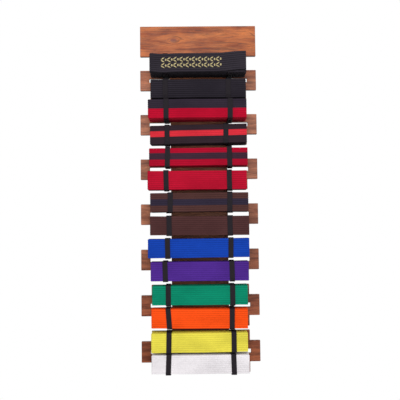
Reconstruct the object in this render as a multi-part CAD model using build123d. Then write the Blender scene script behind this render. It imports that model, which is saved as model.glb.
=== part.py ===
from build123d import *
import os

# Wall-hung wooden display board for fourteen martial arts rank belts.
# The frame is +X to the right, +Z up and +Y towards the wall, all in millimetres.
# The origin is the hanging point: the notch of the sawtooth hanger, on the board's back face.

# Board: one panel, slotted into fourteen plates that carry a belt each.
board_width = 236.0
board_thickness = 6.35
hanger_drop = 20.0
header_height = 63.0
plate_count = 14
plate_height = 37.5
slot_height = 8.0
plate_reach = 97.5
column_reach = 57.0
closed_slot_reach = 99.5
tab_height = 41.5
corner_radius = 1.2
edge_round = 0.8

# Elastic bands: a closed loop round a plate and its belt, one each side of the column.
band_width = 10.0
band_thickness = 1.0
soft_gap = 0.3

# Belts: a cotton strap folded back and forth into a flat pack, lying on its plate.
belt_width = 38.0
belt_standoff = 0.5
belt_corner = 3.0

# The top belt's last turn lies loose over its own bands, folded at its left end.
loose_turn = 3.4
loose_fold = 6.0

# Each belt is folded and hung by hand, so its pack has its own size and place.
# name: (pack length, thickness inside the bands, shift along X, shift along Z, left band, right band)
# The band places are distances from the middle of the board.
BELTS = {
    "belt_01_black_ornament": (189.0, 44.0, -0.3, 0.7, 65.0, 63.0),
    "belt_02_black": (188.0, 34.0, -0.3, -2.0, 66.0, 62.5),
    "belt_03_black_red": (192.0, 48.0, -2.3, 0.8, 64.0, 62.5),
    "belt_04_black_red_stripe": (191.0, 30.0, -0.6, -2.1, 63.0, 62.5),
    "belt_05_red_black_stripe": (194.0, 30.0, -1.1, -1.9, 62.5, 62.5),
    "belt_06_red": (195.0, 30.0, -4.0, -2.0, 65.5, 62.5),
    "belt_07_brown_black_stripe": (192.0, 30.0, -0.5, -0.6, 62.5, 62.5),
    "belt_08_brown": (194.0, 30.0, 0.0, -0.3, 62.5, 62.5),
    "belt_09_blue": (198.0, 30.0, -2.5, 0.9, 63.5, 62.5),
    "belt_10_purple": (191.0, 30.0, -0.9, 1.6, 68.5, 62.5),
    "belt_11_green": (186.0, 30.0, -0.9, 0.8, 63.0, 62.5),
    "belt_12_orange": (187.0, 30.0, -2.0, 1.3, 63.0, 62.5),
    "belt_13_yellow": (187.0, 30.0, -2.6, 0.2, 62.5, 64.0),
    "belt_14_white": (189.0, 30.0, -1.1, 3.4, 63.5, 63.0),
}

# Back hardware.
hanger_width = 45.0
hanger_height = 9.0
hanger_sheet = 0.9
hanger_foot = 9.0
hanger_lift = 1.6
tooth_count = 7
tooth_pitch = 3.0
tooth_depth = 2.0
nail_spacing = 36.0
nail_head_radius = 2.2
nail_head_height = 0.8
nail_shank_radius = 0.8
nail_length = 5.6
pad_radius = 7.0
pad_thickness = 4.0
pad_reach = 108.5
pad_top_drop = 14.0

# Places worked out from the sizes above.
board_top = hanger_drop
pitch = plate_height + slot_height
board_bottom = board_top - header_height - plate_count * pitch
board_height = board_top - board_bottom
header_bottom = board_top - header_height
half_width = board_width / 2


def slot_level(index):
    """Height of the middle of a slot: 0 lies under the header, and 1 under the first plate."""
    return header_bottom - slot_height / 2 - index * pitch


def plate_level(index):
    """Height of the middle of plate 0 to 13, counted from the top."""
    return header_bottom - slot_height - plate_height / 2 - index * pitch


def flat_box(x_low, x_high, z_low, z_high):
    """Rectangle in the board's own plane, between two corners."""
    place = Pos((x_low + x_high) / 2, (z_low + z_high) / 2)
    return place * Rectangle(x_high - x_low, z_high - z_low)


def recess_spans():
    """Heights of the notches between the tabs, from the header down to the foot of the board."""
    spans = []
    top = header_bottom
    for index in range(1, plate_count, 2):
        tab_top = slot_level(index) + tab_height / 2
        spans.append((tab_top, top))
        top = tab_top - tab_height
    spans.append((board_bottom - corner_radius, top))
    return spans


def board_profile():
    """Front view of the board: header, column, plates and tabs, with every slot cut."""
    profile = flat_box(-half_width, half_width, board_bottom, board_top)
    beyond = half_width + 5
    for low, high in recess_spans():
        profile -= flat_box(plate_reach, beyond, low, high)
        profile -= flat_box(-beyond, -plate_reach, low, high)
    for index in range(plate_count):
        middle = slot_level(index)
        reach = closed_slot_reach if index % 2 else plate_reach + 1
        low, high = middle - slot_height / 2, middle + slot_height / 2
        profile -= flat_box(column_reach, reach, low, high)
        profile -= flat_box(-reach, -column_reach, low, high)
    return fillet(profile.vertices(), corner_radius)


def make_board():
    """The panel, with its front and back edges eased."""
    panel = extrude(Plane.XZ * board_profile(), board_thickness)
    faces = panel.faces().filter_by(Axis.Y)
    return fillet(faces.edges(), edge_round)


def make_belt(index, size):
    """The outer block of one folded belt, with the folded ends rounded."""
    length, thickness, shift_x, shift_z, _, _ = size
    block = Box(length, thickness, belt_width)
    block = fillet(block.edges().filter_by(Axis.Z), belt_corner)
    if index == 0:
        block = add_loose_turn(block, length, thickness)
    middle_y = -board_thickness - belt_standoff - thickness / 2
    return Pos(shift_x, middle_y, plate_level(index) + shift_z) * block


def add_loose_turn(block, length, thickness):
    """Adds the turn of the top belt that hangs in front of its bands, joined at the left fold."""
    band_room = band_thickness + 2 * soft_gap
    reach = band_room + loose_turn
    front = -thickness / 2
    turn = Pos(0, front - reach + loose_turn / 2) * Box(length, loose_turn, belt_width)
    join_depth = reach + belt_corner
    join_place = Pos(-length / 2 + loose_fold / 2, front - reach + join_depth / 2)
    return block + turn + join_place * Box(loose_fold, join_depth, belt_width)


def make_band(index, size, side):
    """A flat elastic loop pulled straight round the plate and the belt that lies on it."""
    _, thickness, _, shift_z, left, right = size
    plate = Pos(-board_thickness / 2, 0) * Rectangle(board_thickness, plate_height)
    belt_y = -board_thickness - belt_standoff - thickness / 2
    belt = Pos(belt_y, shift_z) * Rectangle(thickness, belt_width)
    held = make_hull(plate.edges() + belt.edges())
    inside = offset(held, soft_gap)
    outside = offset(held, soft_gap + band_thickness)
    loop = extrude(Plane.YZ * (outside - inside), band_width / 2, both=True)
    reach = left if side == "left" else right
    sign = -1 if side == "left" else 1
    return Pos(sign * reach, 0, plate_level(index)) * loop


def make_hanger():
    """Sheet-steel sawtooth hanger, its toothed middle standing clear of the wood."""
    half = hanger_width / 2
    bend = half - hanger_foot
    rise = hanger_lift
    inner = [(-half, 0), (-bend, 0), (rise - bend, rise), (bend - rise, rise), (bend, 0), (half, 0)]
    outer = [(x, y + hanger_sheet) for x, y in reversed(inner)]
    strip = make_face(Polyline(*inner, *outer, close=True))
    plate = extrude(strip, hanger_height)
    plate = Pos(0, 0, -tooth_depth) * plate
    for index in range(tooth_count):
        x = (index - (tooth_count - 1) / 2) * tooth_pitch
        notch = Polygon(
            (-tooth_pitch / 2, -tooth_depth - 0.1),
            (tooth_pitch / 2, -tooth_depth - 0.1),
            (0, 0),
            align=None,
        )
        cut = extrude(Plane.XZ * (Pos(x, 0) * notch), 20, both=True)
        plate -= cut
    for x in (-nail_spacing / 2, nail_spacing / 2):
        hole = Cylinder(nail_shank_radius + 0.1, 20, rotation=(90, 0, 0))
        plate -= Pos(x, 0, hanger_height / 2 - tooth_depth) * hole
    return plate


def make_nails():
    """The two nails that fix the hanger, driven into the header."""
    nails = []
    for x in (-nail_spacing / 2, nail_spacing / 2):
        height = hanger_height / 2 - tooth_depth
        shank_y = hanger_sheet - nail_length / 2
        shank = Cylinder(nail_shank_radius, nail_length, rotation=(90, 0, 0))
        head = Cylinder(nail_head_radius, nail_head_height, rotation=(90, 0, 0))
        nail = Pos(x, shank_y, height) * shank
        nail += Pos(x, hanger_sheet + nail_head_height / 2, height) * head
        nails.append(nail.solid())
    return Compound(nails)


def pad_places():
    """Middles of the four wall pads: behind the header's ends and the lowest tabs."""
    low = slot_level(plate_count - 1)
    high = board_top - pad_top_drop
    return [(x, z) for z in (high, low) for x in (-pad_reach, pad_reach)]


def make_pads():
    """Felt pads that hold the board off the wall, so that the bands' back runs stay free."""
    pads = []
    for x, z in pad_places():
        pad = Cylinder(pad_radius, pad_thickness, rotation=(90, 0, 0))
        pads.append((Pos(x, pad_thickness / 2, z) * pad).solid())
    return Compound(pads)


def main():
    os.makedirs("parts", exist_ok=True)
    nodes = {
        "display_board": make_board(),
        "sawtooth_hanger": make_hanger(),
        "hanger_nails": make_nails(),
        "wall_pads": make_pads(),
    }
    for index, (name, size) in enumerate(BELTS.items()):
        nodes[name] = make_belt(index, size)
        for side in ("left", "right"):
            nodes[f"band_{index + 1:02d}_{side}"] = make_band(index, size, side)
    for name, shape in nodes.items():
        export_step(shape, f"parts/{name}.step")
    print(len(nodes), "nodes, board", board_width, "x", board_height, "mm")


main()
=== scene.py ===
import math
import random

import bpy
import numpy as np
from mathutils import Matrix, Vector


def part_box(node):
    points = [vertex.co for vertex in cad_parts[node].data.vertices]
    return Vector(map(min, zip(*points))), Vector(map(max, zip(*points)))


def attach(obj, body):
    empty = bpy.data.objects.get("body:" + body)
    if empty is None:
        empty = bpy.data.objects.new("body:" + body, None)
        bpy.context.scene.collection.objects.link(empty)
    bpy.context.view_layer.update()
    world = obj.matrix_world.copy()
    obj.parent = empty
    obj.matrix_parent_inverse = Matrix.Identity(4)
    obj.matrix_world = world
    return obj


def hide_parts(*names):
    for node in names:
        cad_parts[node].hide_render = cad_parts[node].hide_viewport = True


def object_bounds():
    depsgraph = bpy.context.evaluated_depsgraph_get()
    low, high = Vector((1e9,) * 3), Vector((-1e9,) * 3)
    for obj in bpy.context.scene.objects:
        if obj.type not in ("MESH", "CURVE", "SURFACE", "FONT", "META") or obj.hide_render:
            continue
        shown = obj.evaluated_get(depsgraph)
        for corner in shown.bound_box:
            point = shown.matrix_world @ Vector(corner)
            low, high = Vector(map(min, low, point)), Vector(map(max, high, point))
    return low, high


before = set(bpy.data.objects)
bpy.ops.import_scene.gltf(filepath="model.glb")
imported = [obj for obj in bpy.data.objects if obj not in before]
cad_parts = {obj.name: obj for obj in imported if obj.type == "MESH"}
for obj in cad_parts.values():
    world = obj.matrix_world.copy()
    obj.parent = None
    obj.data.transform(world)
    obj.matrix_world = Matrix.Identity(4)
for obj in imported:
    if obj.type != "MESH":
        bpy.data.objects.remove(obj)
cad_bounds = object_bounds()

# A slotted wooden board with fourteen folded rank belts, each under two elastic bands.
# Everything is in metres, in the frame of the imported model: +X right, +Z up, +Y to the wall.
MM = 0.001

# ---------------------------------------------------------------- driving dimensions
HEADER_HEIGHT = 63 * MM
PLATE_HEIGHT = 37.5 * MM
SLOT_HEIGHT = 8 * MM

# A pack: its layers, the share of a layer's room that the strap fills, how far the layers loosen
# between the bands and where that ends, and how much narrower the strap is than its CAD solid.
LAYERS = 13
STITCH_ROWS = 8
STRAP_FILL = 0.9
BULGE = 0.9 * MM
LOOSE_REACH = 54 * MM
LOOSE_FADE = 10 * MM
STRAP_EASE = 1.0 * MM
PINCH_WIDTH = 8 * MM
HALF_PACK = 90 * MM
FOLD_STEPS = 6

# The top belt's outer turn, and the room that it leaves for its bands.
BAND_ROOM = 1.6 * MM
LOOSE_TURN = 3.4 * MM

BAND_WIDTH = 10 * MM
BAND_THICKNESS = 1.0 * MM
BAND_GAP = 0.3 * MM
BAND_RIBS = 7
BAND_SEAM = 7.5 * MM

# Stitched yarn and woven cloth, as drawn in the materials.
YARN = 0.9 * MM
STITCH = 3.4 * MM
ELASTIC_PICK = 1.1 * MM
GOLD_THREAD = 0.42 * MM

PAD_RADIUS = 7 * MM
PAD_SEGMENTS = 48
# A felt pad from the board to the wall: share of its radius, and share of its depth.
PAD_PROFILE = [
    (0.30, 0.0), (0.88, 0.0), (0.98, 0.10), (1.0, 0.30), (0.99, 0.65),
    (0.96, 0.90), (0.86, 0.985), (0.55, 1.0), (0.20, 1.0),
]

# The photograph's viewpoint: place in metres, and turns in degrees.
CAMERA_LENS = 55.9
CAMERA_PLACE = (-0.0147, -1.2564, -0.4136)
CAMERA_PAN = -0.725
CAMERA_PITCH = 3.502
CAMERA_ROLL = -0.626

# How far the front run of a band has crept towards the middle of the board, in millimetres: at its
# top, and at its foot.
BAND_CREEP = {
    "band_02_right": (3.2, 3.8),
    "band_03_right": (0.6, 1.2),
    "band_04_right": (8.6, 9.6),
    "band_05_left": (0.4, -0.6),
    "band_05_right": (2.6, 2.0),
    "band_06_left": (-0.6, 0.2),
    "band_06_right": (3.6, 3.0),
    "band_07_left": (5.0, 4.2),
    "band_07_right": (2.8, 3.4),
    "band_08_left": (1.8, 2.4),
    "band_08_right": (3.6, 3.0),
    "band_09_left": (-0.6, 0.0),
    "band_09_right": (1.8, 2.4),
    "band_10_left": (-0.8, 0.2),
    "band_10_right": (0.8, 0.0),
    "band_12_left": (-0.8, 2.0),
    "band_12_right": (1.2, 1.8),
    "band_13_left": (0.4, -0.4),
    "band_14_left": (0.9, -0.7),
    "band_14_right": (0.2, -0.8),
}

# Linear colours. A strap has one colour all over, a centre stripe, or a lower half of its own.
# The last two values are how dark the painted shade in a stitch row's channel is, which also sets a
# painted highlight on the crest between rows, and how light the painted highlight on the thread in the
# channel is.
BELT_LOOKS = {
    "belt_01_black_ornament": {"base": (0.030, 0.025, 0.034), "groove_shade": 0.56, "thread": 1.6},
    "belt_02_black": {"base": (0.022, 0.018, 0.026), "groove_shade": 0.54, "thread": 1.6},
    "belt_03_black_red": {
        "base": (0.028, 0.020, 0.033), "lower": (0.46, 0.002, 0.024), "thread": 1.3,
    },
    "belt_04_black_red_stripe": {
        "base": (0.030, 0.017, 0.024), "stripe": (0.66, 0.026, 0.042), "thread": 1.5,
    },
    "belt_05_red_black_stripe": {
        "base": (0.40, 0.002, 0.022), "stripe": (0.048, 0.020, 0.036), "thread": 1.3,
    },
    "belt_06_red": {"base": (0.46, 0.004, 0.026)},
    "belt_07_brown_black_stripe": {
        "base": (0.082, 0.033, 0.030), "stripe": (0.031, 0.023, 0.044), "groove_shade": 0.78, "thread": 1.3,
    },
    "belt_08_brown": {"base": (0.075, 0.028, 0.028), "groove_shade": 0.78, "thread": 1.3},
    "belt_09_blue": {"base": (0.006, 0.053, 0.41)},
    "belt_10_purple": {"base": (0.076, 0.022, 0.26)},
    "belt_11_green": {"base": (0.001, 0.24, 0.135)},
    "belt_12_orange": {"base": (0.95, 0.080, 0.006), "groove_shade": 0.86},
    "belt_13_yellow": {"base": (0.80, 0.70, 0.075), "groove_shade": 0.93, "thread": 1.0},
    "belt_14_white": {"base": (0.87, 0.83, 0.86), "groove_shade": 0.98, "thread": 1.0},
}
BELT_NAMES = list(BELT_LOOKS)

# How far over the strap's middle a stripe runs, and half its height, in millimetres.
USUAL_STRIPE = (0, 6.2)
STRIPES = {"belt_04_black_red_stripe": (1.6, 5.8), "belt_05_red_black_stripe": (1.3, 6.4)}

# Straps woven narrower than the others, in millimetres.
NARROWER = {"belt_05_red_black_stripe": 2.2, "belt_14_white": 1.6}

# How the outer layers hang, in millimetres: how much higher at the right end than at the left,
# and how far up they have crept as a whole.
FRONT_HANG = {
    "belt_04_black_red_stripe": (3.2, 0.8),
    "belt_05_red_black_stripe": (0.8, 0.8),
    "belt_07_brown_black_stripe": (0.6, 0.4),
    "belt_08_brown": (-1.0, -0.8),
    "belt_09_blue": (0.8, -0.6),
    "belt_10_purple": (-0.6, -1.2),
    "belt_11_green": (-0.4, -1.6),
    "belt_12_orange": (-1.8, -1.8),
    "belt_13_yellow": (0.6, -1.0),
    "belt_14_white": (-0.8, -0.6),
}


# ---------------------------------------------------------------- shader helpers
class Shader:
    """A material under construction, with short calls for its nodes."""

    def __init__(self, name):
        self.material = bpy.data.materials.new(name)
        self.material.use_nodes = True
        self.tree = self.material.node_tree
        self.surface = self.tree.nodes["Principled BSDF"]

    def node(self, kind, inputs=None, **settings):
        """A new node, with its settings and what goes into its sockets."""
        made = self.tree.nodes.new(kind)
        for key, value in settings.items():
            setattr(made, key, value)
        for key, value in (inputs or {}).items():
            self.put(made.inputs[key], value)
        return made

    def put(self, socket, value):
        """Links another node's output to a socket, or sets a plain value on it."""
        if isinstance(value, bpy.types.NodeSocket):
            self.tree.links.new(value, socket)
        else:
            socket.default_value = value

    def maths(self, operation, a, b=0.0):
        made = self.tree.nodes.new("ShaderNodeMath")
        made.operation = operation
        self.put(made.inputs[0], a)
        self.put(made.inputs[1], b)
        return made.outputs[0]

    def band(self, value, low, high, to_low=0.0, to_high=1.0):
        """A smooth step of value, from to_low at low to to_high at high."""
        made = self.tree.nodes.new("ShaderNodeMapRange")
        made.interpolation_type = "SMOOTHSTEP"
        self.put(made.inputs["Value"], value)
        for key, number in zip(("From Min", "From Max", "To Min", "To Max"), (low, high, to_low, to_high)):
            made.inputs[key].default_value = number
        return made.outputs["Result"]

    def mix(self, factor, a, b, blend="MIX"):
        """From colour a at 0 to colour b at 1."""
        made = self.tree.nodes.new("ShaderNodeMix")
        made.data_type = "RGBA"
        made.blend_type = blend
        self.put(made.inputs["Factor"], factor)
        self.put(made.inputs[6], a if isinstance(a, bpy.types.NodeSocket) else (*a, 1))
        self.put(made.inputs[7], b if isinstance(b, bpy.types.NodeSocket) else (*b, 1))
        return made.outputs[2]

    def scale(self, colour, value):
        """Colour times a grey value."""
        grey = self.node("ShaderNodeCombineColor", {"Red": value, "Green": value, "Blue": value})
        return self.mix(1.0, colour, grey.outputs[0], blend="MULTIPLY")

    def place(self, scale=(1, 1, 1), location=(0, 0, 0)):
        """Object coordinates, stretched and then moved."""
        coords = self.node("ShaderNodeTexCoord").outputs["Object"]
        mapping = self.node("ShaderNodeMapping", {"Vector": coords}, vector_type="POINT")
        mapping.inputs["Location"].default_value = location
        mapping.inputs["Scale"].default_value = scale
        return mapping.outputs[0]

    def noise(self, vector, scale, detail=3.0, roughness=0.5, distortion=0.0):
        made = self.node("ShaderNodeTexNoise", {
            "Vector": vector, "Scale": scale, "Detail": detail, "Roughness": roughness,
            "Distortion": distortion,
        })
        return made.outputs["Fac"]

    def stretch(self, axes, scales):
        """A vector of three axes, each stretched by its own scale."""
        scaled = [self.maths("MULTIPLY", axis, scale) for axis, scale in zip(axes, scales)]
        return self.node("ShaderNodeCombineXYZ", dict(zip("XYZ", scaled))).outputs[0]

    def strap(self):
        """A lofted piece's own coordinates: along and across in metres, and the channel's number."""
        cloth = self.node("ShaderNodeAttribute", attribute_name="strap").outputs["Vector"]
        return self.node("ShaderNodeSeparateXYZ", {"Vector": cloth}).outputs

    def bump(self, height, distance, strength=1.0):
        made = self.node("ShaderNodeBump", {"Height": height, "Distance": distance, "Strength": strength})
        self.tree.links.new(made.outputs[0], self.surface.inputs["Normal"])

    def finish(self, colour, roughness, **values):
        self.put(self.surface.inputs["Base Color"], colour)
        self.put(self.surface.inputs["Roughness"], roughness)
        for key, value in values.items():
            self.surface.inputs[key.replace("_", " ")].default_value = value
        return self.material


# ---------------------------------------------------------------- materials
def strap_material(name, base, stripe_place, stripe=None, lower=None, groove_shade=0.83, thread=1.15):
    """Stitched cotton strap of one colour, or with a stripe or a lower half of another."""
    s = Shader(name)
    along, across, channel = s.strap()
    colour = s.mix(0.0, base, base)
    if stripe:
        middle, half = stripe_place
        off = s.maths("ABSOLUTE", s.maths("SUBTRACT", across, middle * MM))
        colour = s.mix(s.band(off, (half - 0.2) * MM, (half + 0.2) * MM, 1, 0), base, stripe)
    if lower:
        colour = s.mix(s.band(across, -0.3 * MM, 0.3 * MM, 1, 0), base, lower)

    # Broad fading from handling, and flecks of lint.
    broad = s.noise(s.place((14, 14, 30)), 1.0, 4.0, 0.55)
    colour = s.scale(colour, s.band(broad, 0.25, 0.75, 0.86, 1.10))
    fleck = s.noise(s.place((900, 900, 1400)), 1.0, 2.0)
    colour = s.scale(colour, s.band(fleck, 0.3, 0.7, 0.90, 1.08))

    # Plain weave.
    warp = s.maths("SINE", s.maths("MULTIPLY", along, 2 * math.pi / YARN))
    weft = s.maths("SINE", s.maths("MULTIPLY", across, 2 * math.pi / YARN))
    weave = s.maths("MULTIPLY", warp, weft)
    colour = s.scale(colour, s.band(weave, -1, 1, 0.93, 1.05))

    # Stitch rows: painted shade in each groove with a painted highlight on the crest between rows, and a
    # painted highlight on the thread in the groove, which dips under at each stitch.
    row = s.maths("FRACT", s.maths("ADD", channel, 0.5))
    row = s.maths("ABSOLUTE", s.maths("SUBTRACT", row, 0.5))
    channel_shade = s.band(row, 0.03, 0.36, groove_shade, 1.0 + 0.45 * (1 - groove_shade))
    dash = s.maths("ABSOLUTE", s.maths("SINE", s.maths("MULTIPLY", along, math.pi / STITCH)))
    stitch = s.maths("MULTIPLY", s.band(row, 0.02, 0.06, 1, 0), s.band(dash, 0.25, 0.5))
    colour = s.scale(colour, channel_shade)
    colour = s.scale(colour, s.band(stitch, 0, 1, 1.0, thread))

    height = s.maths("MULTIPLY", weave, 0.10)
    height = s.maths("ADD", height, s.maths("MULTIPLY", stitch, 0.9))
    height = s.maths("ADD", height, s.maths("MULTIPLY", fleck, 0.35))
    s.bump(height, 0.25 * MM, 0.9)
    rough = s.band(broad, 0.2, 0.8, 0.92, 0.82)
    return s.finish(colour, rough, Sheen_Weight=0.05, Sheen_Roughness=0.45, Specular_IOR_Level=0.10)


def elastic_material():
    """Black ribbed elastic."""
    s = Shader("elastic_black")
    along, _, channel = s.strap()
    pick = s.maths("SINE", s.maths("MULTIPLY", along, 2 * math.pi / ELASTIC_PICK))
    rib = s.maths("COSINE", s.maths("MULTIPLY", channel, 2 * math.pi))
    noise = s.noise(s.place((500, 500, 500)), 1.0, 2.0)
    colour = s.mix(s.band(rib, -1, 1), (0.009, 0.007, 0.010), (0.021, 0.016, 0.021))
    colour = s.scale(colour, s.band(noise, 0.3, 0.7, 0.8, 1.3))
    height = s.maths("ADD", s.maths("MULTIPLY", pick, 0.4), s.maths("MULTIPLY", noise, 0.6))
    s.bump(height, 0.15 * MM, 0.8)
    return s.finish(colour, s.band(noise, 0.2, 0.8, 0.6, 0.75), Specular_IOR_Level=0.14)


def wood_material():
    """Stained, satin-lacquered softwood with its grain along X, a knot, a few mineral streaks and painted
    shade on its edge faces.
    """
    s = Shader("board_wood")
    coords = s.node("ShaderNodeTexCoord").outputs["Object"]
    x, y, z = s.node("ShaderNodeSeparateXYZ", {"Vector": coords}).outputs

    # The grain swells round a knot in the header: the level that it follows is pushed aside there.
    knot_x, knot_z = -0.050, -0.0085
    dx = s.maths("MULTIPLY", s.maths("SUBTRACT", x, knot_x), 48.0)
    dz = s.maths("MULTIPLY", s.maths("SUBTRACT", z, knot_z), 110.0)
    reach = s.maths("ADD", s.maths("MULTIPLY", dx, dx), s.maths("MULTIPLY", dz, dz))
    swell = s.maths("POWER", 2.718, s.maths("MULTIPLY", reach, -1.0))
    push = s.maths("MULTIPLY", s.maths("MULTIPLY", dz, swell), 0.012)
    wander = s.maths("SUBTRACT", s.noise(s.place((9, 9, 26)), 1.0, 3.0), 0.5)
    wander = s.maths("MULTIPLY", wander, 0.016)
    level = s.maths("ADD", s.maths("SUBTRACT", z, push), wander)
    grain = (x, y, level)
    figure = s.noise(s.stretch(grain, (9, 60, 95)), 1.0, 5.0, 0.62)
    fibres = s.noise(s.stretch(grain, (40, 300, 620)), 1.0, 4.0, 0.65)
    pores = s.noise(s.stretch(grain, (130, 900, 1500)), 1.0, 2.0)
    streaks = s.noise(s.stretch(grain, (22, 200, 330)), 1.0, 3.0, 0.7)

    # Stain: orange-brown in the header, duller below it, and deeper and redder at the foot.
    rise_low = s.band(z, -0.62, -0.28)
    rise_top = s.band(z, -0.13, -0.02)
    light = s.mix(rise_low, (0.33, 0.092, 0.036), (0.46, 0.175, 0.092))
    light = s.mix(rise_top, light, (0.56, 0.158, 0.036))
    dark = s.mix(rise_low, (0.13, 0.028, 0.010), (0.20, 0.060, 0.030))
    dark = s.mix(rise_top, dark, (0.25, 0.044, 0.007))
    blotch = s.noise(s.place((16, 16, 34)), 1.0, 3.0, 0.6)
    tone = s.maths("ADD", s.maths("MULTIPLY", figure, 0.72), s.maths("MULTIPLY", blotch, 0.36))
    colour = s.mix(s.band(tone, 0.40, 0.66), dark, light)
    colour = s.scale(colour, s.band(fibres, 0.3, 0.7, 0.74, 1.18))
    colour = s.scale(colour, s.band(streaks, 0.50, 0.66, 1.06, 0.62))
    colour = s.scale(colour, s.band(pores, 0.62, 0.76, 1.0, 0.66))
    warm = s.noise(s.place((7, 7, 11), (0.3, 0, 0.1)), 1.0, 2.0)
    redder = s.mix(1.0, colour, (1.0, 0.72, 0.66), "MULTIPLY")
    colour = s.mix(s.band(warm, 0.45, 0.75, 0.0, 0.35), colour, redder)

    # The knot, and short dark streaks: place along X, height, half length, half height, turn.
    colour = s.mix(s.band(reach, 0.02, 0.20, 0.75, 0.0), colour, (0.20, 0.055, 0.045))
    ring = s.maths("ABSOLUTE", s.maths("SUBTRACT", reach, 0.30))
    colour = s.mix(s.band(ring, 0.0, 0.16, 0.45, 0.0), colour, (0.24, 0.060, 0.022))
    for middle_x, middle_z, length, height, turn in (
        (0.001, 0.0112, 0.0090, 0.0016, 0.0),
        (0.086, -0.0175, 0.0060, 0.0013, 0.0),
        (0.112, 0.0020, 0.0085, 0.0012, 0.62),
        (-0.101, -0.0075, 0.0070, 0.0010, 0.0),
        (-0.088, -0.0290, 0.0045, 0.0010, 0.1),
        (0.034, 0.0100, 0.0075, 0.0010, -0.05),
    ):
        sx = s.maths("SUBTRACT", x, middle_x)
        sz = s.maths("SUBTRACT", z, middle_z)
        turned_x = s.maths("SUBTRACT", s.maths("MULTIPLY", sx, math.cos(turn)),
                           s.maths("MULTIPLY", sz, math.sin(turn)))
        turned_z = s.maths("ADD", s.maths("MULTIPLY", sx, math.sin(turn)),
                           s.maths("MULTIPLY", sz, math.cos(turn)))
        across = s.maths("POWER", s.maths("DIVIDE", turned_x, length), 2.0)
        up = s.maths("POWER", s.maths("DIVIDE", turned_z, height), 2.0)
        spot = s.band(s.maths("ADD", across, up), 0.1, 1.2, 0.62, 0.0)
        colour = s.mix(spot, colour, (0.10, 0.026, 0.012))

    # Painted shade: the board's edge faces and slot walls, turned away from the front, are darkened for
    # the shade that falls on them.
    normal = s.node("ShaderNodeNewGeometry").outputs["Normal"]
    facing = s.node("ShaderNodeSeparateXYZ", {"Vector": normal}).outputs[1]
    painted_edge_shade = s.band(s.maths("ABSOLUTE", facing), 0.45, 0.95, 1.0, 0.0)
    colour = s.mix(s.maths("MULTIPLY", painted_edge_shade, 0.80), colour, (0.055, 0.018, 0.010))

    pits = s.maths("MULTIPLY", s.band(pores, 0.62, 0.76), -0.8)
    height = s.maths("ADD", s.maths("MULTIPLY", fibres, 0.5), pits)
    s.bump(height, 0.12 * MM, 0.6)
    rough = s.band(fibres, 0.2, 0.8, 0.36, 0.52)
    return s.finish(colour, rough, Specular_IOR_Level=0.22, Coat_Weight=0.04, Coat_Roughness=0.3)


def steel_material():
    """Zinc-plated sheet with a faint spangle and rolling marks."""
    s = Shader("hanger_steel")
    cells = s.node("ShaderNodeTexVoronoi", {"Vector": s.place(), "Scale": 420.0})
    spangle = cells.outputs["Distance"]
    lines = s.noise(s.place((60, 500, 2600)), 1.0, 3.0)
    colour = s.mix(s.band(spangle, 0.1, 0.7), (0.50, 0.49, 0.46), (0.66, 0.64, 0.58))
    colour = s.scale(colour, s.band(lines, 0.3, 0.7, 0.92, 1.05))
    s.bump(lines, 0.02 * MM, 0.5)
    return s.finish(colour, s.band(lines, 0.2, 0.8, 0.28, 0.42), Metallic=1.0)


def felt_material():
    """Dark grey pressed felt."""
    s = Shader("pad_felt")
    hair = s.noise(s.place((1400, 1400, 1400)), 1.0, 4.0, 0.7, 1.2)
    clump = s.noise(s.place((260, 260, 260)), 1.0, 3.0)
    colour = s.mix(s.band(hair, 0.3, 0.7), (0.035, 0.033, 0.032), (0.115, 0.108, 0.102))
    colour = s.scale(colour, s.band(clump, 0.3, 0.7, 0.8, 1.2))
    s.bump(s.maths("ADD", hair, clump), 0.3 * MM, 0.8)
    return s.finish(colour, 0.95, Sheen_Weight=0.4, Sheen_Roughness=0.6)


def gold_thread_material():
    """Satin-stitched metallic gold yarn: fine parallel threads across each stitched shape."""
    s = Shader("gold_thread")
    along, across, _ = s.strap()
    slanted = s.maths("ADD", along, s.maths("MULTIPLY", across, 0.35))
    thread = s.maths("SINE", s.maths("MULTIPLY", slanted, 2 * math.pi / GOLD_THREAD))
    noise = s.noise(s.place((420, 420, 420)), 1.0, 2.0)
    colour = s.mix(s.band(thread, -1, 1), (0.50, 0.38, 0.14), (0.92, 0.82, 0.46))
    colour = s.scale(colour, s.band(noise, 0.3, 0.7, 0.82, 1.12))
    s.bump(thread, 0.12 * MM, 0.8)
    return s.finish(colour, 0.42, Metallic=0.25, Sheen_Weight=0.15)


def floor_material():
    """Pale matt floor."""
    s = Shader("floor_pale")
    grain = s.noise(s.place((30, 30, 30)), 1.0, 4.0)
    colour = s.mix(s.band(grain, 0.3, 0.7), (0.80, 0.80, 0.80), (0.84, 0.84, 0.83))
    return s.finish(colour, s.band(grain, 0.2, 0.8, 0.6, 0.75))


# ---------------------------------------------------------------- mesh helpers
def loft(rings, notes, closed=False):
    """Points, faces and notes of a tube through rings of points. An open tube gets end caps of quads.

    A ring runs along one side and back along the other, so its caps pair the points across it.
    """
    count, size = rings.shape[:2]
    faces = []
    for i in range(count if closed else count - 1):
        a, b = i * size, (i + 1) % count * size
        for j in range(size):
            k = (j + 1) % size
            faces.append((a + j, a + k, b + k, b + j))
    if not closed:
        for base, flip in ((0, True), ((count - 1) * size, False)):
            for j in range(size // 2 - 1):
                quad = (base + j, base + j + 1, base + size - 2 - j, base + size - 1 - j)
                faces.append(quad[::-1] if flip else quad)
    points = rings.reshape(-1, 3)
    faces = np.array(faces)
    corners = points[faces]
    volume = np.einsum("ij,ij->", corners[:, 0], np.cross(corners[:, 1], corners[:, 2]))
    volume += np.einsum("ij,ij->", corners[:, 0], np.cross(corners[:, 2], corners[:, 3]))
    if volume < 0:
        faces = faces[:, ::-1]
    return points, faces, notes.reshape(-1, 3)


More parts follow.
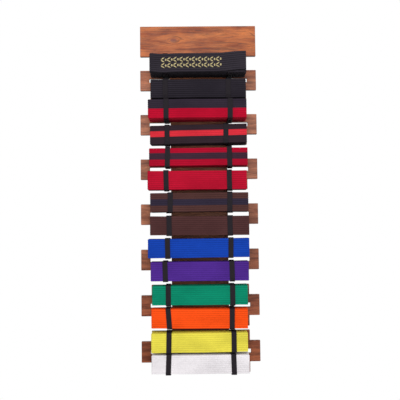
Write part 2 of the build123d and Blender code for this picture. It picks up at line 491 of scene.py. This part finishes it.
def make_piece(name, parts, material, sharp=50):
    """One object from lofted parts, smooth except over sharp edges."""
    points, faces, notes = [], [], []
    total = 0
    for part_points, part_faces, part_notes in parts:
        points.append(part_points)
        faces.append(part_faces + total)
        notes.append(part_notes)
        total += len(part_points)
    mesh = bpy.data.meshes.new(name)
    mesh.from_pydata(np.concatenate(points).tolist(), [], np.concatenate(faces).tolist())
    attribute = mesh.attributes.new("strap", "FLOAT_VECTOR", "POINT")
    attribute.data.foreach_set("vector", np.concatenate(notes).astype(np.float32).ravel())
    mesh.shade_smooth()
    mesh.set_sharp_from_angle(angle=math.radians(sharp))
    mesh.materials.append(material)
    piece = bpy.data.objects.new(name, mesh)
    bpy.context.scene.collection.objects.link(piece)
    return piece


def smooth_step(value):
    """0 up to 0, 1 from 1 on, and smooth between."""
    value = np.clip(value, 0, 1)
    return value * value * (3 - 2 * value)


# ---------------------------------------------------------------- belts
def strap_section(width, thickness):
    """Outline of a strap, padded between its stitch rows: across, out and channel at each point."""
    steps = (STITCH_ROWS + 1) * 3
    outline = []
    for i in range(steps + 1):
        share = 1.0
        if i % 3 == 0:
            share = 0.74
        if i in (0, steps):
            share = 0.40
        outline.append((width * (i / steps - 0.5), thickness / 2 * share, i / 3))
    back = [(across, -out, channel) for across, out, channel in reversed(outline)]
    return np.array(outline + back)


def front_creep(name, away):
    """How far the front of a belt's pack has crept up, at a distance from the pack's middle."""
    slant, creep = FRONT_HANG.get(name, (0.0, 0.0))
    return (slant / 2 * away / HALF_PACK + creep) * MM


class Pack:
    """The folded pack of one belt: where each fold and layer lies."""

    def __init__(self, index):
        self.name = BELT_NAMES[index]
        self.random = random.Random(1100 + index)
        low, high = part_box(self.name)
        self.loose = index == 0
        self.left, self.right = low.x, high.x
        self.middle = (low.x + high.x) / 2
        self.back = high.y
        self.middle_z = (low.z + high.z) / 2
        self.width = high.z - low.z - STRAP_EASE - NARROWER.get(self.name, 0) * MM
        self.thickness = high.y - low.y
        if self.loose:
            self.thickness -= BAND_ROOM + LOOSE_TURN
        self.pitch = self.thickness / LAYERS
        self.depths = [(k + 0.5) * self.pitch for k in range(LAYERS)]
        if self.loose:
            self.depths.append(self.thickness + BAND_ROOM + LOOSE_TURN / 2)
        bands = [f"band_{index + 1:02d}_{side}" for side in ("left", "right")]
        self.band_places = []
        for band, sign in zip(bands, (-1, 1)):
            creep = sum(BAND_CREEP.get(band, (0, 0))) / 2 * MM
            low_band, high_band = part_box(band)
            self.band_places.append((low_band.x + high_band.x) / 2 - sign * creep)
        self.lifts = [self.random.uniform(-0.35, 0.35) * MM for _ in self.depths]
        self.tilts = [self.random.uniform(-0.2, 0.2) * MM for _ in self.depths]
        self.wave = [self.random.uniform(0, 2 * math.pi) for _ in range(3)]
        self.lifts[-1] *= 0.3

    def free(self, x):
        """0 under a band, and 1 well away from both."""
        pinch = np.zeros_like(x)
        for place in self.band_places:
            pinch = np.maximum(pinch, np.exp(-((x - place) / PINCH_WIDTH) ** 2))
        return 1 - pinch

    def swell(self, x, depth):
        """Depth after the layers loosen between the bands. Beyond those a band slides over them."""
        share = np.clip(depth / self.thickness, 0, 1.2)
        slow = 0.8 + 0.3 * np.sin(x * 41 + self.wave[0]) + 0.15 * np.sin(x * 97 + self.wave[1])
        inside = 1 - smooth_step((np.abs(x - self.middle) - LOOSE_REACH) / LOOSE_FADE)
        return depth + share * self.free(x) * BULGE * slow * inside

    def rise(self, x, layer):
        """How far a layer has crept up or down at x."""
        layer = np.clip(layer, 0, len(self.depths) - 1)
        lift = np.interp(layer, range(len(self.depths)), self.lifts)
        tilt = np.interp(layer, range(len(self.depths)), self.tilts)
        away = x - self.middle
        ripple = 0.15 * MM * np.sin(x * 55 + self.wave[2] + layer * 1.7)
        moved = (lift + tilt * away / HALF_PACK + ripple) * self.free(x)
        moved = moved + front_creep(self.name, away) * layer / (len(self.depths) - 1)
        if self.loose:
            # The loose turn dips beside its fold and lifts towards its free end.
            front = np.clip(layer - (len(self.depths) - 2), 0, 1)
            turn = 1.3 * MM * np.exp(-((away + 0.092) / 0.012) ** 2)
            turn = turn - 0.9 * MM * np.exp(-((away + 0.070) / 0.022) ** 2)
            turn = turn + 4.2 * MM * smooth_step((away - 0.030) / 0.060)
            moved = moved * (1 - front) + front * turn
        return moved

    def route(self):
        """Sections along the folded strap: x, depth and layer, from the board outwards."""
        inset = self.pitch / 2
        route = []
        last = len(self.depths) - 1
        # How far each fold falls short of the pack's end.
        ends = {}
        for k in range(-1, last + 1):
            slack = abs(self.random.gauss(0, 0.9 * MM)) if k < last - 1 else 0.0
            ends[k] = min(slack, 2.5 * MM)
        for k, depth in enumerate(self.depths):
            forward = (last - k) % 2 == 0
            lower, upper = self.left + inset, self.right - inset
            begin, finish = (lower, upper) if forward else (upper, lower)
            sign = 1 if forward else -1
            begin += sign * ends[k - 1]
            finish -= sign * ends[k]
            if k == last:
                finish += inset
            steps = 7
            if k == last:
                steps = 44
            elif self.loose and k == last - 1:
                steps = 20
            for i in range(steps + 1):
                route.append((begin + (finish - begin) * i / steps, depth, k))
            if k < last:
                radius = (self.depths[k + 1] - depth) / 2
                for i in range(1, FOLD_STEPS):
                    angle = math.pi * i / FOLD_STEPS
                    bulge = inset * math.sin(angle)
                    turned = depth + radius * (1 - math.cos(angle))
                    route.append((finish + sign * bulge, turned, k + i / FOLD_STEPS))
        return np.array(route)

    def surface(self, x, up):
        """Front face of the outermost layer at x and at a height over its middle."""
        layer = len(self.depths) - 1
        out = self.depths[-1] + self.pitch * STRAP_FILL / 2
        y = self.back - self.swell(x, np.full_like(x, out))
        return y, self.middle_z + up + self.rise(x, np.full_like(x, layer))


def make_belt(index):
    """One continuous strap, folded back and forth into its pack."""
    pack = Pack(index)
    route = pack.route()
    x, layer = route[:, 0], route[:, 2]
    depth = pack.swell(x, route[:, 1])
    step_x, step_depth = np.gradient(x), np.gradient(depth)
    run = np.hypot(step_x, step_depth)
    normal_x, normal_depth = -step_depth / run, step_x / run
    along = np.concatenate([[0], np.cumsum(np.hypot(np.diff(x), np.diff(depth)))])
    section = strap_section(pack.width, pack.pitch * STRAP_FILL)
    across, out, channel = section[:, 0], section[:, 1], section[:, 2]
    rise = pack.rise(x, layer)
    px = x[:, None] + normal_x[:, None] * out[None, :]
    py = pack.back - (depth[:, None] + normal_depth[:, None] * out[None, :])
    pz = pack.middle_z + rise[:, None] + across[None, :]
    rings = np.stack(np.broadcast_arrays(px, py, pz), axis=2)
    notes = np.stack(np.broadcast_arrays(along[:, None], across[None, :], channel[None, :]), axis=2)
    colours = pack.name[len("belt_01_"):]
    stripe_place = STRIPES.get(pack.name, USUAL_STRIPE)
    material = strap_material(f"cotton_{colours}", stripe_place=stripe_place, **BELT_LOOKS[pack.name])
    piece = make_piece(f"{pack.name}_strap", [loft(rings, notes)], material)
    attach(piece, pack.name)
    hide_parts(pack.name)
    with_pieces = [make_ornament(pack)] if pack.loose else []


# ---------------------------------------------------------------- gold ornament of the top belt
def stitched_leaf(pack, middle, up, length, width, turn):
    """A pointed, raised satin-stitch shape on the front of the top belt."""
    steps, sides = 10, 4
    rings, notes = [], []
    for i in range(steps + 1):
        u = -1 + 2 * i / steps
        half = max(width / 2 * (1 - u * u) ** 0.75, 0.05 * MM)
        crown = 0.75 * MM * (0.15 + 0.85 * math.sqrt(max(0.0, 1 - u * u)))
        ring, note = [], []
        for j in range(sides + 1):
            v = -1 + 2 * j / sides
            ring.append((u * length / 2, v * half, crown * (1 - v * v) ** 0.5))
            note.append((u * length / 2, v * half, 0))
        for j in range(sides + 1):
            v = 1 - 2 * j / sides
            ring.append((u * length / 2, v * half * 0.98, -0.35 * MM))
            note.append((u * length / 2, v * half, 0))
        rings.append(ring)
        notes.append(note)
    rings, notes = np.array(rings), np.array(notes)
    cos, sin = math.cos(turn), math.sin(turn)
    x = middle + rings[:, :, 0] * cos - rings[:, :, 1] * sin
    z = up + rings[:, :, 0] * sin + rings[:, :, 1] * cos
    y, placed_z = pack.surface(x, z)
    placed = np.stack([x, y - rings[:, :, 2], placed_z], axis=2)
    return loft(placed, notes)


def make_ornament(pack):
    """Two rows of leaf sprigs and lozenges, a plain repeating border pattern in gold yarn."""
    middle = pack.middle - 13.5 * MM
    half_length, pitch = 54 * MM, 12 * MM
    count = int(2 * half_length / pitch)
    leaves = []
    for row, sign in ((6.0 * MM, 1), (-5.4 * MM, -1)):
        for i in range(count + 1):
            x = middle + (i - count / 2) * pitch
            for lean in (0.55, -0.55):
                up = row + sign * 2.6 * MM * (1 if lean > 0 else -1)
                leaf = stitched_leaf(pack, x - 2.0 * MM, up, 8.4 * MM, 2.5 * MM, sign * lean)
                leaves.append(leaf)
            lozenge = stitched_leaf(pack, x + 4.0 * MM, row, 5.2 * MM, 3.4 * MM, math.pi / 2)
            leaves.append(lozenge)
    piece = make_piece("belt_01_gold_ornament", leaves, gold_thread_material(), sharp=60)
    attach(piece, pack.name)
    return piece


# ---------------------------------------------------------------- elastic bands
def convex_hull(points):
    """Corners of the hull of points in a plane, in order round it."""
    points = sorted(set(points))

    def half(run):
        out = []
        for p in run:
            while len(out) > 1:
                (ax, ay), (bx, by) = out[-2], out[-1]
                if (bx - ax) * (p[1] - ay) - (by - ay) * (p[0] - ax) > 1e-9:
                    break
                out.pop()
            out.append(p)
        return out[:-1]

    return half(points) + half(points[::-1])


def rounded_loop(corners, offset, radii, spacing):
    """Points and outward normals of a loop round corners, at an offset and with rounded turns."""
    count = len(corners)
    centre = np.array(corners)
    tangents = np.roll(centre, -1, axis=0) - centre
    tangents /= np.linalg.norm(tangents, axis=1)[:, None]
    normals = np.stack([tangents[:, 1], -tangents[:, 0]], axis=1)
    points, outward = [], []
    last = None
    for i in range(count + 1):
        k = i % count
        before, after = normals[k - 1], normals[k]
        bisector = before + after
        corner = centre[k] + bisector * offset / (1 + before @ after)
        radius = radii[k]
        hub = corner - bisector * radius / (1 + before @ after)
        start_angle = math.atan2(before[1], before[0])
        turn = (math.atan2(after[1], after[0]) - start_angle) % (2 * math.pi)
        steps = max(2, round(turn / 0.32))
        arc = [start_angle + turn * j / steps for j in range(steps + 1)]
        arc_normals = [np.array([math.cos(a), math.sin(a)]) for a in arc]
        arc_points = [hub + n * radius for n in arc_normals]
        if last is not None:
            gap = np.linalg.norm(arc_points[0] - last)
            runs = max(1, round(gap / spacing))
            for j in range(1, runs):
                points.append(last + (arc_points[0] - last) * j / runs)
                outward.append(before)
        if i == count:
            break
        points += arc_points
        outward += arc_normals
        last = arc_points[-1]
    return np.array(points), np.array(outward)


def band_section():
    """Outline of ribbed elastic: across, out and rib number for each point."""
    steps = BAND_RIBS * 2
    outline = []
    for i in range(steps + 1):
        share = 1.0 if i % 2 else 0.72
        if i in (0, steps):
            share = 0.5
        outline.append((BAND_WIDTH * (i / steps - 0.5), BAND_THICKNESS / 2 * share, i / 2))
    back = [(across, -out, rib) for across, out, rib in reversed(outline)]
    return np.array(outline + back)


def make_band(index, side, material):
    """One elastic loop round a plate and its belt, sewn where its ends overlap behind the plate."""
    name = f"band_{index + 1:02d}_{side}"
    sign = -1 if side == "left" else 1
    low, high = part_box(name)
    board_low, board_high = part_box("display_board")
    belt_low, belt_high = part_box(BELT_NAMES[index])
    front = belt_low.y
    if index == 0:
        front += BAND_ROOM + LOOSE_TURN
    pitch = PLATE_HEIGHT + SLOT_HEIGHT
    plate_z = board_high.z - HEADER_HEIGHT - SLOT_HEIGHT - PLATE_HEIGHT / 2 - index * pitch
    plate_ends = (plate_z - PLATE_HEIGHT / 2, plate_z + PLATE_HEIGHT / 2)
    corners = [(y, z) for y in (board_low.y, board_high.y) for z in plate_ends]
    crept = front_creep(BELT_NAMES[index], (low.x + high.x - belt_low.x - belt_high.x) / 2)
    corners += [(belt_high.y, z) for z in (belt_low.z, belt_high.z)]
    corners += [(front, z + crept) for z in (belt_low.z, belt_high.z)]
    hull = convex_hull(corners)
    radii = [2.4 * MM if corner[0] < front + MM else 1.6 * MM for corner in hull]
    offset = BAND_GAP + BAND_THICKNESS / 2
    loop, outward = rounded_loop(hull, offset, radii, 5 * MM)

    creep_top, creep_foot = BAND_CREEP.get(name, (0.0, 0.0))
    share_up = np.clip((loop[:, 1] - belt_low.z) / (belt_high.z - belt_low.z), 0, 1)
    creep = (creep_foot + (creep_top - creep_foot) * share_up) * MM
    reach = smooth_step(loop[:, 0] / front)
    middle = (low.x + high.x) / 2 - sign * creep * reach

    section = band_section()
    across, out, rib = section[:, 0], section[:, 1], section[:, 2]
    sewn = smooth_step((BAND_SEAM - np.abs(loop[:, 1] - plate_z)) / (1.5 * MM)) * (loop[:, 0] > 0)
    thick = out[None, :] + sewn[:, None] * BAND_THICKNESS * 0.9 * (out[None, :] > 0)
    px = middle[:, None] + across[None, :] + 0 * thick
    py = loop[:, 0][:, None] + outward[:, 0][:, None] * thick
    pz = loop[:, 1][:, None] + outward[:, 1][:, None] * thick
    rings = np.stack([px, py, pz], axis=2)
    lengths = np.linalg.norm(np.diff(loop, axis=0, append=loop[:1]), axis=1)
    along = np.concatenate([[0], np.cumsum(lengths)[:-1]])
    notes = np.stack(np.broadcast_arrays(along[:, None], across[None, :], rib[None, :]), axis=2)
    piece = make_piece(f"{name}_elastic", [loft(rings, notes, closed=True)], material, sharp=60)
    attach(piece, name)
    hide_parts(name)


# ---------------------------------------------------------------- board and its hardware
def finish_cad_node(name, material, angle=40):
    """Gives a kept CAD node its material and smooth rounded edges."""
    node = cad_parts[name]
    node.data.materials.clear()
    node.data.materials.append(material)
    node.data.shade_smooth()
    node.data.set_sharp_from_angle(angle=math.radians(angle))


def make_pads(material):
    """Four pressed felt pads with soft rims, in the places of the CAD pads."""
    low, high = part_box("wall_pads")
    radius, depth = PAD_RADIUS, high.y - low.y
    lively = random.Random(77)
    parts = []
    for x in (low.x + radius, high.x - radius):
        for z in (low.z + radius, high.z - radius):
            frays = [lively.uniform(-0.012, 0.012) for _ in range(PAD_SEGMENTS)]
            rings, notes = [], []
            for share, level in PAD_PROFILE:
                y = low.y + depth * level
                ring, note = [], []
                for i, fray in enumerate(frays):
                    angle = 2 * math.pi * i / PAD_SEGMENTS
                    reach = radius * share * (1 + fray * level)
                    ring.append((x + reach * math.cos(angle), y, z + reach * math.sin(angle)))
                    note.append((angle * radius, depth * level, 0))
                rings.append(ring)
                notes.append(note)
            parts.append(loft(np.array(rings), np.array(notes)))
    piece = make_piece("wall_pad_felts", parts, material)
    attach(piece, "board")
    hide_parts("wall_pads")


# ---------------------------------------------------------------- stage, light and camera
def aim(thing, place, target):
    """Puts a light at a place and turns it to a target."""
    thing.location = place
    thing.rotation_euler = (Vector(target) - Vector(place)).to_track_quat("-Z", "Y").to_euler()


def add_area(name, place, target, size, power):
    """A white rectangular softbox."""
    data = bpy.data.lights.new(name, "AREA")
    data.shape = "RECTANGLE"
    data.size, data.size_y = size
    data.energy = power
    light = bpy.data.objects.new(name, data)
    bpy.context.scene.collection.objects.link(light)
    aim(light, place, target)


def make_stage():
    """A pale round floor under the hanging board, a white surround and soft light from the front."""
    radius, sides, drop = 1.1, 96, 0.42
    level = cad_bounds[0][2] - drop
    mesh = bpy.data.meshes.new("floor")
    angles = [2 * math.pi * i / sides for i in range(sides)]
    rim = [(radius * math.cos(angle), radius * math.sin(angle), level) for angle in angles]
    mesh.from_pydata(rim, [], [list(range(sides))])
    mesh.materials.append(floor_material())
    floor = bpy.data.objects.new("floor", mesh)
    bpy.context.scene.collection.objects.link(floor)

    # The surround shows white, and lights the object less than it shows.
    world = bpy.data.worlds.new("studio")
    world.use_nodes = True
    bpy.context.scene.world = world
    tree = world.node_tree
    background = tree.nodes["Background"]
    rays = tree.nodes.new("ShaderNodeLightPath")
    strength = tree.nodes.new("ShaderNodeMapRange")
    strength.inputs["To Min"].default_value = 0.40
    strength.inputs["To Max"].default_value = 1.0
    tree.links.new(rays.outputs["Is Camera Ray"], strength.inputs["Value"])
    tree.links.new(strength.outputs[0], background.inputs["Strength"])
    background.inputs["Color"].default_value = (1, 1, 1, 1)

    target = (0, -0.03, -0.33)
    add_area("key", (-0.25, -2.3, 0.75), target, (1.5, 1.2), 34)
    add_area("front_fill", (0.7, -2.4, -0.30), target, (1.2, 1.6), 12)
    add_area("back_fill", (0.6, 1.9, 0.6), target, (1.6, 1.4), 12)


def make_camera():
    """The photograph's viewpoint."""
    data = bpy.data.cameras.new("camera")
    data.sensor_width = 36
    data.lens = CAMERA_LENS
    data.dof.use_dof = False
    camera = bpy.data.objects.new("camera", data)
    bpy.context.scene.collection.objects.link(camera)
    pan = Matrix.Rotation(math.radians(CAMERA_PAN), 4, "Z")
    pitch = Matrix.Rotation(math.radians(90 + CAMERA_PITCH), 4, "X")
    roll = Matrix.Rotation(math.radians(CAMERA_ROLL), 4, "Z")
    camera.matrix_world = Matrix.Translation(CAMERA_PLACE) @ pan @ pitch @ roll
    bpy.context.scene.camera = camera


def main():
    finish_cad_node("display_board", wood_material())
    steel = steel_material()
    finish_cad_node("sawtooth_hanger", steel)
    finish_cad_node("hanger_nails", steel)
    make_pads(felt_material())
    elastic = elastic_material()
    for index in range(len(BELT_NAMES)):
        make_belt(index)
        for side in ("left", "right"):
            make_band(index, side, elastic)
    make_stage()
    make_camera()
    bpy.context.scene.view_settings.view_transform = "Standard"


main()

bpy.context.view_layer.update()
